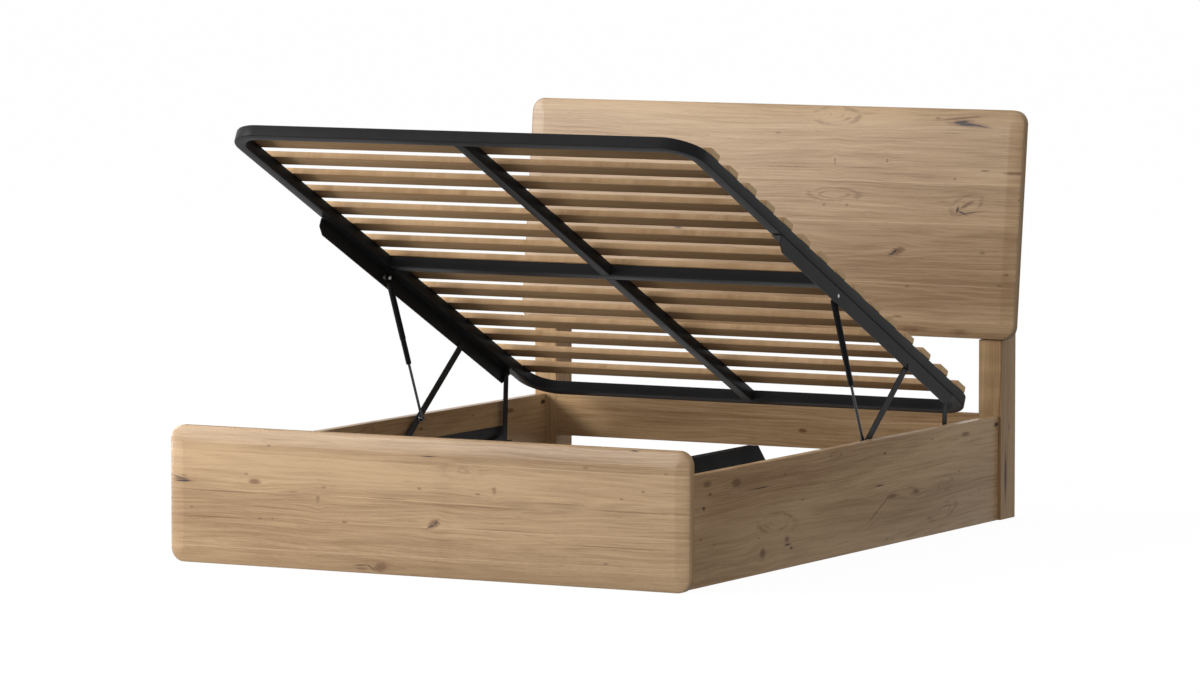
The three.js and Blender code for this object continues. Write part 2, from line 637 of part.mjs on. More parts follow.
addStrutPair('strut_rod', spun([
  [strutLength - rodLength, 0], [strutLength - rodLength, rodRadius], [strutLength - eyeRadius - rodNutLength, rodRadius],
  [strutLength - eyeRadius - rodNutLength, rodNutRadius], [strutLength, rodNutRadius], [strutLength, 0],
])
  .add(turned([
    ...dome(-eyeHalf - domeHeight, -eyeHalf, domeRadius), [-eyeHalf, eyeRadius], [eyeHalf, eyeRadius],
  ], eyeAt(strutLength))), brightLook);

export default bed;
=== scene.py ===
"""Ottoman bed: looks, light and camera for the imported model, laid out as a Blender add-on."""

import math

import bmesh
import bpy
import numpy as np
from bpy.props import FloatProperty, FloatVectorProperty, IntProperty
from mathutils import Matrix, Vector


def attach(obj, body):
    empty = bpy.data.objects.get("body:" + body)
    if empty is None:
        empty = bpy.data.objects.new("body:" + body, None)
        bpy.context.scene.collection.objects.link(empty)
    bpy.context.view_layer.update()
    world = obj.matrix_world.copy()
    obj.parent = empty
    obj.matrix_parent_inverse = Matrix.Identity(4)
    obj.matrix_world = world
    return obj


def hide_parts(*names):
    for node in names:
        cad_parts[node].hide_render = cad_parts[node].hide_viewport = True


bl_info = {
    "name": "Ottoman Bed",
    "version": (1, 0, 0),
    "blender": (4, 5, 0),
    "location": "3D View > Sidebar > Ottoman Bed",
    "description": "Builds the boards, platform, lift and studio of an ottoman bed",
    "category": "Object",
}

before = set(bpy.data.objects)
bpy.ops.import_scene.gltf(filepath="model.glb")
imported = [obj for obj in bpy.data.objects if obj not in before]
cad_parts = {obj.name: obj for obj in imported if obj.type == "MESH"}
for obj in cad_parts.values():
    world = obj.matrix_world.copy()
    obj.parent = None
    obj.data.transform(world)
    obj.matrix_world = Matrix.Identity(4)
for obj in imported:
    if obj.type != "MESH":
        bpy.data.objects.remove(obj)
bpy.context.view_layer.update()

# Sizes in metres. Places along the bed start at the footboard's face, MID_Y in front of the origin.
MID_Y = 1.07275
LEAN = math.radians(6.59)
TILT = math.radians(25.86)
ACROSS = np.array((1.0, 0.0, 0.0))

# Boards: half width, half height, thickness
FOOTBOARD = (0.820, 0.192, 0.030)
HEADBOARD = (0.826, 0.3381, 0.034)
HEAD_FOOT = np.array((0.0, 2.0295 - MID_Y, 0.536))
BOARD_ARRIS = 0.001
BOARD_GROOVE = 0.0005
BOARD_CREASE = 2.2
SIDE_HALF_HEIGHT = 0.1538
SIDE_THICKNESS = 0.028
SIDE_OUTER = 0.776
SIDE_ARRIS = 0.0012
LEAST_CORNER = 0.0012
SIDE_ENDS = (0.030 - MID_Y, 2.047 - MID_Y)
RAIL = (0.7105, 0.0645, 0.028)
RAIL_FRONT = 2.047
RAIL_MIDDLE = 0.2475
LEG_OUTER = 0.7845

# Platform: its axes, then its frame's half width, length, tube, corners and beams
PLATFORM_FRONT = np.array((0.0, 0.1682 - MID_Y, 1.2193))
PLATFORM_ALONG = np.array((0.0, math.cos(TILT), -math.sin(TILT)))
PLATFORM_UP = np.array((0.0, math.sin(TILT), math.cos(TILT)))
FRAME_HALF = 0.742
FRAME_LENGTH = 2.001
TUBE_WIDTH = 0.034
TUBE_HEIGHT = 0.033
BEND_OUTER = 0.105
BOW_TAIL = 0.025
JOINT_GAP = 0.0003
CROSS_FRONT = 0.9766
CENTRE_X = 0.006
CENTRE_HALF = 0.016

# Slats: the first thirteen at one pitch, the last two at a wider one
SLAT_HALF = 0.742
SLAT_HALF_WIDTH = 0.0285
SLAT_HALF_THICKNESS = 0.009
SLAT_MIDDLE_HEIGHT = 0.0093
FIRST_SLAT = 0.1118
SLAT_PITCH = 0.12295
REAR_PITCH = 0.13105
LAST_EVEN = 12
SLATS = 15
SLAT_END = 0.7413

# Gas struts, as (distance from the top stud, radius), and the studs, as (distance, radius) across
STRUT_X = 0.724
STRUT_TOP = np.array((0.0, -0.020671, 0.7299755))
STRUT_FOOT = np.array((0.0, 0.17525, 0.3))
STRUT_LENGTH = float(np.linalg.norm(STRUT_FOOT - STRUT_TOP))
STRUT_WAY = (STRUT_FOOT - STRUT_TOP) / STRUT_LENGTH
EYE = (
    (-0.005, 0.0041), (-0.005, 0.0072), (-0.0042, 0.008), (0.0042, 0.008), (0.005, 0.0072), (0.005, 0.0041),
)
BARREL = (
    (0.0075, 0.0), (0.0075, 0.005), (0.013, 0.005), (0.0133, 0.0062), (0.0141, 0.0076), (0.0155, 0.0088),
    (0.0165, 0.009), (0.2030, 0.009), (0.2050, 0.0088), (0.2070, 0.0085), (0.2080, 0.00835), (0.2076, 0.0083),
    (0.0220, 0.0083), (0.0220, 0.0),
)
SLEEVE = (
    (0.1, 0.0043), (0.1, 0.008), (0.2868, 0.008), (0.2876, 0.0077), (0.288, 0.0070), (0.288, 0.0043),
)
SHAFT = (
    (STRUT_LENGTH - 0.205, 0.0), (STRUT_LENGTH - 0.205, 0.0037), (STRUT_LENGTH - 0.2046, 0.004),
    (STRUT_LENGTH - 0.0145, 0.004), (STRUT_LENGTH - 0.0142, 0.0052), (STRUT_LENGTH - 0.0138, 0.0055),
    (STRUT_LENGTH - 0.0075, 0.0055), (STRUT_LENGTH - 0.0075, 0.0),
)
SHAFT_EYE = (
    (0.005, 0.0), (0.005, 0.0072), (0.0042, 0.008), (-0.0042, 0.008), (-0.005, 0.0072), (-0.005, 0.0065),
)
DOME_HEIGHT = 0.0045
DOME_RADIUS = 0.0065
TOP_STUD = (
    (0.7142, 0.0), (0.7146, 0.0035), (0.7156, 0.0052), (0.7172, 0.0063), (0.7187, 0.0065), (0.7187, 0.004),
    (0.7353, 0.004), (0.7353, 0.007), (0.7387, 0.007), (0.7387, 0.004), (0.7423, 0.004), (0.7423, 0.0054),
    (0.7436, 0.0050), (0.7442, 0.0038), (0.7442, 0.0),
)

# Studio
FLOOR_HALF = 60.0
FLOOR_DROP = 0.0005
FLOOR_GREY = 0.17
FLOOR_GLOW = 1.46
GLOW_SHARE = 0.66
WHITE = (1.0, 1.0, 1.0, 1.0)
VIEW_CENTRE = (0.0, 0.0, 0.6)
LENS, SENSOR = 206.74, 36.0
CAMERA_PLACE = (9.3586, -16.295 - MID_Y, 2.2383)
CAMERA_DOWN, CAMERA_TURN = 0.08510, 0.49569


def linear(red, green, blue):
    """A colour read off a screen, 0 to 255, as linear light."""
    return tuple(
        c / 12.92 if c <= 0.04045 else ((c + 0.055) / 1.055) ** 2.4
        for c in (red / 255, green / 255, blue / 255)
    )


END_GRAIN = (linear(238, 204, 160), linear(206, 170, 128))
CRACK = linear(50, 44, 46)
KNOT_TINT = (0.46, 0.33, 0.25)
# Painted shade and painted sheen: the headboard takes the boards' own wood, darkened, and greyed by darkening
# blue least
HEADBOARD_SHADE_AND_SHEEN = (0.87, 0.895, 0.93)
# Painted shade: the legs take the boards' own wood, darkened as a shaded copy
LEG_PAINTED_SHADE = (0.91, 0.91, 0.91)

# Marks that are one soft spot: how far out they start and stop, and how strong they are. shade is painted
# shade, a wide soft darkening laid along a board's bottom; the others are the wood's own stains, knots and
# lines
SPOTS = {
    "stain": (1.3, 0.1, 0.62),
    "shade": (1.2, 0.2, 0.24),
    "brown": (1.7, 0.5, 0.72),
    "line": (1.3, 0.4, 0.45),
}


def tinted(colour, tint):
    """A colour with each of its channels scaled."""
    return tuple(c * k for c, k in zip(colour, tint))


# Shader expressions


class Term:
    """One socket of a material; arithmetic on it adds Math nodes."""

    def __init__(self, look, socket):
        self.look, self.socket = look, socket

    def __add__(self, other):
        return self.look.sum("ADD", self, other)

    def __sub__(self, other):
        return self.look.sum("SUBTRACT", self, other)

    def __mul__(self, other):
        return self.look.sum("MULTIPLY", self, other)

    def __truediv__(self, other):
        return self.look.sum("DIVIDE", self, other)

    def __rsub__(self, other):
        return self.look.sum("SUBTRACT", other, self)

    def __rtruediv__(self, other):
        return self.look.sum("DIVIDE", other, self)

    __radd__ = __add__
    __rmul__ = __mul__

    def top(self, other):
        """The larger of the two."""
        return self.look.sum("MAXIMUM", self, other)

    def low(self, other):
        """The smaller of the two."""
        return self.look.sum("MINIMUM", self, other)

    def wave(self):
        """The sine."""
        return self.look.sum("SINE", self)

    def size(self):
        """The distance from zero."""
        return self.look.sum("ABSOLUTE", self)


class Look:
    """A material, or the world, whose nodes are written as expressions."""

    def __init__(self, name, world=None):
        self.material = world or bpy.data.materials.new(name)
        self.material.use_nodes = True
        self.tree = self.material.node_tree
        self.shader = self.tree.nodes["Background" if world else "Principled BSDF"]

    def node(self, kind, settings, values, out=0):
        """A node of that kind: settings first, then the values or links of its sockets."""
        made = self.tree.nodes.new("ShaderNode" + kind)
        for key, value in settings.items():
            setattr(made, key, value)
        for key, value in values.items():
            if isinstance(value, Term):
                self.tree.links.new(value.socket, made.inputs[key])
            else:
                made.inputs[key].default_value = value
        return Term(self, made.outputs[out])

    def sum(self, operation, *parts):
        """A Math node on terms or numbers."""
        return self.node("Math", {"operation": operation}, dict(enumerate(parts)))

    def place(self):
        """Object coordinates as three terms."""
        point = self.node("TexCoord", {}, {}, 3)
        return [self.node("SeparateXYZ", {}, {0: point}, i) for i in range(3)]

    def vector(self, x, y, z):
        """Three terms as one vector."""
        return self.node("CombineXYZ", {}, {0: x, 1: y, 2: z})

    def noise(self, vector, scale=1.0, detail=2.0, rough=0.5):
        """Noise about one half."""
        return self.node(
            "TexNoise", {}, {"Vector": vector, "Scale": scale, "Detail": detail, "Roughness": rough}
        )

    def span(self, value, start, stop, low=0.0, high=1.0):
        """A smooth step from low at start to high at stop."""
        return self.node(
            "MapRange",
            {"interpolation_type": "SMOOTHSTEP"},
            {"Value": value, "From Min": start, "From Max": stop, "To Min": low, "To Max": high},
        )

    def mix(self, amount, first, second):
        """Two colours mixed."""
        return self.node(
            "Mix",
            {"data_type": "RGBA"},
            {0: amount, 6: rgba(first), 7: rgba(second)},
            2,
        )

    def backdrop(self, dull, bright, most=1.0):
        """Ends in the bright shader where the eye, a reflection or glass looks, else in the dull one.
        most is the bright shader's share there."""
        eye, gloss, glass = (
            self.node("LightPath", {}, {}, "Is " + ray + " Ray")
            for ray in ("Camera", "Glossy", "Transmission")
        )
        pick = self.node("MixShader", {}, {0: eye.top(gloss).top(glass) * most, 1: dull, 2: bright})
        end = next(node for node in self.tree.nodes if node.bl_idname.startswith("ShaderNodeOutput"))
        self.tree.links.new(pick.socket, end.inputs[0])

    def wear(self, colour, roughness, metallic=0.0, height=None, lift=0.0002, shine=0.5):
        """Links or sets the shader's own sockets."""
        wanted = (("Base Color", rgba(colour)), ("Roughness", roughness), ("Metallic", metallic))
        for key, value in wanted:
            if isinstance(value, Term):
                self.tree.links.new(value.socket, self.shader.inputs[key])
            else:
                self.shader.inputs[key].default_value = value
        self.shader.inputs["Specular IOR Level"].default_value = shine
        if height is not None:
            bump = self.node("Bump", {}, {"Distance": lift, "Height": height})
            self.tree.links.new(bump.socket, self.shader.inputs["Normal"])
        return self.material


def rgba(colour):
    """A colour with full alpha; a term stays as it is."""
    return colour if isinstance(colour, Term) else (*tuple(colour)[:3], 1.0)


# Surfaces


def rounded_rectangle(half_width, half_height, radius, steps):
    """Corner centres plus radius times (cos a, sin a), a from 0 to 90 degrees in each corner."""
    turn = np.linspace(0, math.pi / 2, steps + 1)
    arcs = []
    for k, (sx, sy) in enumerate(((1, 1), (-1, 1), (-1, -1), (1, -1))):
        a = turn + k * math.pi / 2
        arcs.append(
            np.stack(
                [
                    sx * (half_width - radius) + radius * np.cos(a),
                    sy * (half_height - radius) + radius * np.sin(a),
                ],
                1,
            )
        )
    return np.concatenate(arcs)


def skin(rings, caps=True, loop=False):
    """Vertices and faces of a grid of closed rings: each ring joined to the next, the ends capped
    or joined to each other."""
    count, around = rings.shape[:2]
    i, j = np.meshgrid(np.arange(count if loop else count - 1), np.arange(around), indexing="ij")
    nxt = (j + 1) % around
    row, up = i * around, ((i + 1) % count) * around
    quads = np.stack([row + j, row + nxt, up + nxt, up + j], -1).reshape(-1, 4).tolist()
    if caps and not loop:
        quads.append(list(range(around))[::-1])
        quads.append(list(range((count - 1) * around, count * around)))
    return rings.reshape(-1, 3), quads


def joined(parts):
    """Several vertex and face lists as one."""
    points, faces, base = [], [], 0
    for part, quads in parts:
        points.append(part)
        faces += [[k + base for k in face] for face in quads]
        base += len(part)
    return np.concatenate(points), faces


def slab(half_width, half_height, thickness, radius, bevel, edge, groove=0.0, steps=48):
    """A board: its rounded outline drawn inwards by inset(v) at depth(v). Over the bevel, depth is a
    line plus a square and a twelfth power of the way from the inner crease; then a small round
    edge, the side with an optional fine groove, and a small round edge to the back."""
    width, depth = bevel
    section = []
    if width:
        section = [
            (width * (1 - w), depth * (0.55 * w + 0.32 * w**2 + 0.13 * w**12))
            for w in np.linspace(0, 1, 13)[:-1]
        ]
    quarter = np.linspace(0, math.pi / 2, 4)
    section += [(edge * (1 - math.sin(a)), depth + edge * (1 - math.cos(a))) for a in quarter]
    if groove:
        at = depth + (thickness - depth) * 0.42
        section += [(0, at - groove), (groove, at), (0, at + groove)]
    section += [(edge * (1 - math.cos(a)), thickness - edge * (1 - math.sin(a))) for a in quarter]
    rings = []
    for inset, deep in section:
        r = max(radius - inset, LEAST_CORNER)
        ring = rounded_rectangle(half_width - inset, half_height - inset, r, steps)
        rings.append(np.concatenate([ring, np.full((len(ring), 1), deep)], 1))
    return skin(np.array(rings))


def carried(path, side, up, profile):
    """A profile carried along a path: point + side * p0 + up * p1 for each profile point."""
    return (
        path[:, None, :]
        + side[:, None, :] * profile[None, :, 0:1]
        + up[:, None, :] * profile[None, :, 1:2]
    )


def turned(pairs, start, way, steps=40):
    """A profile of (distance, radius) pairs spun about the line from start along way."""
    pairs = np.array(pairs, float)
    way = np.array(way, float) / np.linalg.norm(way)
    first = np.cross(way, (1.0, 0.0, 0.0) if abs(way[0]) < 0.9 else (0.0, 1.0, 0.0))
    first /= np.linalg.norm(first)
    second = np.cross(way, first)
    a = np.linspace(0, 2 * math.pi, steps, endpoint=False)
    circle = np.cos(a)[:, None] * first + np.sin(a)[:, None] * second
    centre = np.array(start) + pairs[:, :1] * way
    return centre[:, None, :] + pairs[:, 1][:, None, None] * circle[None, :, :]


def on_platform(points):
    """Platform axes (across, along, up) to the bed's frame."""
    points = np.asarray(points, float)
    return (
        PLATFORM_FRONT
        + points[..., 0:1] * ACROSS
        + points[..., 1:2] * PLATFORM_ALONG
        + points[..., 2:3] * PLATFORM_UP
    )


def make(name, shape, material, body, node, crease=30.0, rim=None):
    """Puts a surface into the scene, facing outwards, riding on its body, for the CAD node that it
    replaces. Faces turned more than 45 degrees away from the bed's length take the rim's material."""
    points, faces = shape
    mesh = bpy.data.meshes.new(name)
    mesh.from_pydata(np.asarray(points).tolist(), [], faces)
    shell = bmesh.new()
    shell.from_mesh(mesh)
    bmesh.ops.remove_doubles(shell, verts=shell.verts, dist=1e-6)
    bmesh.ops.recalc_face_normals(shell, faces=shell.faces)
    shell.to_mesh(mesh)
    shell.free()
    mesh.polygons.foreach_set("use_smooth", np.ones(len(mesh.polygons), bool))
    mesh.set_sharp_from_angle(angle=math.radians(crease))
    mesh.materials.append(material)
    if rim:
        mesh.materials.append(rim)
        normals = np.empty(len(mesh.polygons) * 3)
        mesh.polygons.foreach_get("normal", normals)
        mesh.polygons.foreach_set("material_index", (np.abs(normals[1::3]) < 0.7).astype(np.int32))
    piece = bpy.data.objects.new(name, mesh)
    bpy.context.scene.collection.objects.link(piece)
    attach(piece, body)
    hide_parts(node)


def dress(material, *nodes):
    """Gives CAD nodes a material."""
    for node in nodes:
        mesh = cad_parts[node].data
        mesh.materials.clear()
        mesh.materials.append(material)


# Materials


def wood(
    name, light, dark, axes, marks=(), planks=(), seed=0.0, rough=0.3, shine=0.06, ends=None, calm=1.0
):
    """Sawn board decor. axes picks the term along the grain and the one across it, which bends
    round the larger knots. Tone is broad noise stretched along the grain, plus streaks, growth
    lines, short dark dashes and pores; calm scales the coarser of them. Marks are ellipses (along,
    across, half length, half width, kind, turn) in metres, of the kinds that mark() draws, with
    loops broken up by noise. Planks are joins (across, slope, from, to, tone above the join).
    Beyond ends, to the left and right, the pale end grain shows."""
    look = Look(name)
    x, y, z = look.place()
    along, across = axes(x, y, z)
    wobble = look.noise(look.vector(along * 45.0, across * 110.0, seed), 1.0, 3.0)
    drift = look.noise(look.vector(along * 1.3, across * 4.0, seed), 1.0, 2.0)
    bent = across + (drift - 0.5) * 0.05
    gaps = look.noise(look.vector(along * 16.0, across * 45.0, seed + 1.7), 1.0, 2.0)
    broken = look.span(gaps, 0.42, 0.62)
    halo = core = None
    for at, up, length, width, kind, *turn in marks:
        far, v = reach(look, along - at, across - up, length, width, turn[0] if turn else 0.0)
        if width >= 0.005 and kind in ("dark", "brown"):
            bent = bent - v * (width * 0.75) / (far * far * 0.22 + 1.0)
        h, c = mark(look, far + (wobble - 0.5) * (0.35 if kind == "loop" else 0.9), kind)
        if kind == "loop":
            h = h * broken
        elif kind == "brown" and length < 0.010:
            h = h * 0.7
        halo = h if halo is None else halo.top(h)
        if c is not None:
            core = c if core is None else core.top(c)
    broad = look.noise(look.vector(along * 0.9, bent * 9.0, seed + 3.1), 1.0, 3.0)
    streak = look.noise(look.vector(along * 1.8, bent * 120.0, seed + 7.7), 1.0, 6.0, 0.7)
    fine = look.noise(look.vector(along * 7.0, bent * 480.0, seed + 2.3), 1.0, 4.0, 0.7)
    pores = look.noise(look.vector(along * 40.0, across * 1100.0, seed), 1.0, 2.0)
    growth = look.noise(look.vector(along * 0.7, bent * 12.0, seed + 11.0), 1.0, 1.0)
    lines = (growth * 70.0).wave() * 0.5 + 0.5
    dash = look.span(look.noise(look.vector(along * 11.0, bent * 360.0, seed + 5.0), 1.0, 2.0), 0.64, 0.74)
    depth = (broad - 0.5) * (1.5 * calm) + (streak - 0.5) * (1.3 * calm) + (fine - 0.5) * 1.5
    depth = depth + (lines - 0.5) * 0.18 + (pores - 0.5) * 0.5 + dash * (0.6 * calm) + 0.45
    for height, slope, start, stop, tone in planks:
        over = across + (drift - 0.5) * 0.012 - along * slope - height
        part = look.span(along, start, start + 0.05) * look.span(along, stop, stop - 0.05)
        depth = depth + look.span(over, -0.0006, 0.0006, -tone, tone) * part
        depth = depth - look.span(over.size(), 0.0022, 0.0008) * part * 0.5
    colour = look.mix(depth.top(0.0).low(1.25), light, dark)
    if halo is not None:
        colour = look.mix(halo, colour, tinted(dark, KNOT_TINT))
    if core is not None:
        colour = look.mix(core, colour, CRACK)
    if ends:
        cut = look.noise(look.vector(x, y * 900.0, z * 900.0), 1.0, 3.0) * 0.5
        colour = look.mix(look.span(x.size(), ends, ends + 0.0003), colour, look.mix(cut, *END_GRAIN))
    height = streak * 0.4 + fine * 0.3 + pores * 0.3
    roughness = look.span(streak, 0.2, 0.8, rough - 0.05, rough + 0.07)
    return look.wear(colour, roughness, 0.0, height, 0.0002, shine)


def reach(look, dx, dy, length, width, turn):
    """How far a point dx, dy from a mark's centre lies, in the ellipse's own units."""
    c, s = math.cos(turn), math.sin(turn)
    if turn:
        u, v = dx * (c / length) + dy * (s / length), dy * (c / width) - dx * (s / width)
    else:
        u, v = dx * (1.0 / length), dy * (1.0 / width)
    return look.sum("SQRT", u * u + v * v), v


def mark(look, far, kind):
    """Halo and core of a mark, from its distance. A dark knot or crack has both, and the rest a halo
    alone: a ring figure has many rings, a loop is one ring, and a spot fades from its middle."""
    if kind == "ring":
        return ((far * 11.0).wave() * 0.5 + 0.5) * look.span(far, 1.2, 0.2, 0.0, 0.26), None
    if kind == "loop":
        return look.span((far - 1.0).size(), 0.26, 0.02, 0.0, 0.42), None
    if kind == "dark":
        return look.span(far, 2.4, 0.6, 0.0, 0.62), look.span(far, 1.15, 0.6, 0.0, 0.92)
    start, stop, strength = SPOTS[kind]
    return look.span(far, start, stop, 0.0, strength), None


def edging(name, light, dark, depth, seed):
    """Thin strips round a board's rim: a dark joint line at the face, then two tones of band."""
    look = Look(name)
    x, y, z = look.place()
    deep = depth(y, z)
    grain = look.noise(look.vector(x * 5.0 + z * 5.0, deep * 300.0, seed), 1.0, 4.0, 0.6)
    joint = look.span(deep, 0.0010, 0.0002) + look.span((deep - 0.0125).size(), 0.0010, 0.0003)
    tone = (grain - 0.5) * 1.3 + look.span(deep, 0.0120, 0.0130, 0.25, 0.6) + joint.low(1.0) * 0.75
    colour = look.mix(tone.top(0.0).low(1.4), light, dark)
    return look.wear(colour, look.span(grain, 0.2, 0.8, 0.4, 0.5), 0.0, grain, 0.0002, 0.06)


def powder_coat(name, base, rough=0.34):
    """Satin black coat: base colour with faint clouds and a fine orange-peel bump."""
    look = Look(name)
    x, y, z = look.place()
    peel = look.noise(look.vector(x, y, z), 900.0, 2.0)
    cloud = look.noise(look.vector(x, y, z), 7.0, 3.0)
    colour = look.mix(cloud, tuple(c * 0.82 for c in base), tuple(c * 1.25 for c in base))
    roughness = look.span(cloud, 0.3, 0.7, rough - 0.04, rough + 0.05)
    return look.wear(colour, roughness, 0.0, peel, 0.00004, 0.045)


def bright_metal(name, base, rough=0.18):
    """Bright metal with fine turning marks."""
    look = Look(name)
    x, y, z = look.place()
    rub = look.noise(look.vector(x * 300.0, y * 300.0, z * 2500.0), 1.0, 2.0)
    colour = look.mix(rub, tuple(c * 0.85 for c in base), base)
    return look.wear(colour, look.span(rub, 0.2, 0.8, rough, rough + 0.12), 1.0, rub, 0.00001)


# Settings


class BoardSettings(bpy.types.PropertyGroup):
    light: FloatVectorProperty(
        name="Light wood",
        description="Paler tone of the boards",
        subtype="COLOR",
        default=linear(203, 170, 130),
    )
    dark: FloatVectorProperty(
        name="Dark wood",
        description="Darker tone of the boards",
        subtype="COLOR",
        default=linear(149, 115, 79),
    )
    radius: FloatProperty(
        name="Corner radius",
        description="Corners of headboard and footboard",
        unit="LENGTH",
        default=0.040,
        min=0.005,
    )
    bevel: FloatProperty(
        name="Bevel width",
        description="Wide bevel of headboard and footboard",
        unit="LENGTH",
        default=0.044,
        min=0.005,
    )
    depth: FloatProperty(
        name="Bevel depth",
        description="How far the bevel falls back",
        unit="LENGTH",
        default=0.006,
        min=0.0005,
    )


class PlatformSettings(bpy.types.PropertyGroup):
    coat: FloatVectorProperty(
        name="Coat", description="Colour of the steel's coat", subtype="COLOR", default=linear(41, 41, 42)
    )
    tube_radius: FloatProperty(
        name="Tube edge",
        description="Round of the tubes' long edges",
        unit="LENGTH",
        default=0.003,
        min=0.0005,
    )
    bend_steps: IntProperty(
        name="Bend steps", description="Rings in each bent corner", default=20, min=6, max=60
    )


class SlatSettings(bpy.types.PropertyGroup):
    light: FloatVectorProperty(
        name="Light wood",
        description="Paler tone of the slats",
        subtype="COLOR",
        default=linear(206, 172, 134),
    )
    dark: FloatVectorProperty(
        name="Dark wood",
        description="Darker tone of the slats",
        subtype="COLOR",
        default=linear(168, 134, 97),
    )
    edge: FloatProperty(
        name="Edge radius",
        description="Round of the slats' long edges",
        unit="LENGTH",
        default=0.0015,
        min=0.0005,
    )


class StrutSettings(bpy.types.PropertyGroup):
    tube: FloatVectorProperty(
        name="Tube", description="Colour of the strut's tubes", subtype="COLOR", default=linear(28, 28, 29)
    )
    stud: FloatVectorProperty(
        name="Studs", description="Colour of the studs", subtype="COLOR", default=linear(176, 176, 178)
    )
    rod: FloatVectorProperty(
        name="Rod", description="Colour of the rods", subtype="COLOR", default=linear(66, 67, 69)
    )


class StudioSettings(bpy.types.PropertyGroup):
    key: FloatProperty(
        name="Key light", description="Power of the large soft light", default=430.0, min=0.0
    )
    strip: FloatProperty(
        name="Strip light",
        description="Power of the low strip that gives the sheen",
        default=425.0,
        min=0.0,
    )
    fill: FloatProperty(
        name="Fill light",
        description="Power of the low light under the platform",
        default=40.0,
        min=0.0,
    )
    sky: FloatProperty(
        name="Sky", description="Strength of the surrounding light", default=0.54, min=0.0
    )


GROUPS = (BoardSettings, PlatformSettings, SlatSettings, StrutSettings, StudioSettings)

# Marks, as wood() takes them: along the board, up it, half length, half width, kind, turn
FOOT_MARKS = (
    (-0.776, 0.2285, 0.024, 0.0026, "dark", 0.04),
    (-0.790, 0.2375, 0.020, 0.0014, "dark", -0.22),
    (-0.783, 0.233, 0.021, 0.0052, "brown"),
    (-0.773, 0.244, 0.009, 0.0025, "brown"),
    (-0.543, 0.238, 0.018, 0.0065, "brown"),
    (-0.570, 0.257, 0.006, 0.003, "brown"),
    (-0.497, 0.340, 0.006, 0.003, "brown"),
    (0.014, 0.334, 0.018, 0.0014, "dark"),
    (-0.320, 0.232, 0.006, 0.0025, "brown"),
    (-0.339, 0.201, 0.005, 0.009, "brown"),
    (-0.016, 0.244, 0.006, 0.003, "brown"),
    (-0.110, 0.211, 0.060, 0.0018, "line"),
    (-0.254, 0.139, 0.008, 0.0035, "brown"),
    (-0.526, 0.135, 0.005, 0.0025, "brown"),
    (-0.486, 0.137, 0.004, 0.002, "brown"),
    (-0.748, 0.156, 0.005, 0.0025, "brown"),
    (0.022, 0.142, 0.011, 0.0021, "dark", 0.45),
    (0.036, 0.152, 0.009, 0.0022, "dark", 1.0),
    (0.030, 0.149, 0.017, 0.0095, "brown", 0.4),
    (-0.205, 0.0225, 0.023, 0.0013, "dark", 0.06),
    (-0.171, 0.0175, 0.013, 0.0014, "dark", -0.6),
    (-0.140, 0.0200, 0.022, 0.0110, "brown", 0.2),
    (-0.200, 0.0120, 0.030, 0.0070, "stain"),
    (0.651, 0.379, 0.009, 0.002, "dark"),
    (0.503, 0.327, 0.007, 0.003, "brown"),
    (0.614, 0.247, 0.005, 0.0025, "brown"),
    (0.680, 0.270, 0.005, 0.003, "brown"),
    (0.765, 0.2695, 0.044, 0.0014, "line"),
    (0.750, 0.322, 0.006, 0.002, "brown"),
    (0.168, 0.238, 0.007, 0.003, "brown"),
    (0.220, 0.250, 0.005, 0.009, "brown"),
    (0.565, 0.069, 0.007, 0.003, "brown"),
    (0.606, 0.0625, 0.026, 0.0012, "line"),
    (0.646, 0.028, 0.024, 0.0014, "line"),
    (0.425, 0.058, 0.018, 0.0012, "line"),
    (-0.660, 0.205, 0.150, 0.0022, "line"),
    (-0.380, 0.211, 0.110, 0.0022, "line"),
    (0.420, 0.224, 0.080, 0.0026, "line"),
    (0.650, 0.213, 0.160, 0.0026, "line"),
    (0.600, 0.114, 0.210, 0.0018, "line"),
    (0.150, 0.203, 0.140, 0.0020, "line"),
    (0.270, 0.142, 0.200, 0.0018, "line"),
    (-0.700, 0.132, 0.110, 0.0018, "line"),
    (0.120, 0.300, 0.090, 0.034, "ring"),
    # Painted shade: a wide, faint darkening along the footboard's bottom edge, darker towards the bottom
    (0.000, 0.000, 2.500, 0.090, "shade"),
)
FOOT_JOINS = (
    (0.3095, -0.009, -0.84, 0.06, 0.08),
    (0.3200, -0.004, 0.06, 0.84, 0.10),
    (0.0550, 0.010, -0.84, 0.84, 0.02),
    (0.1380, 0.006, -0.30, 0.84, -0.05),
    (0.2080, -0.002, -0.84, 0.30, -0.04),
)
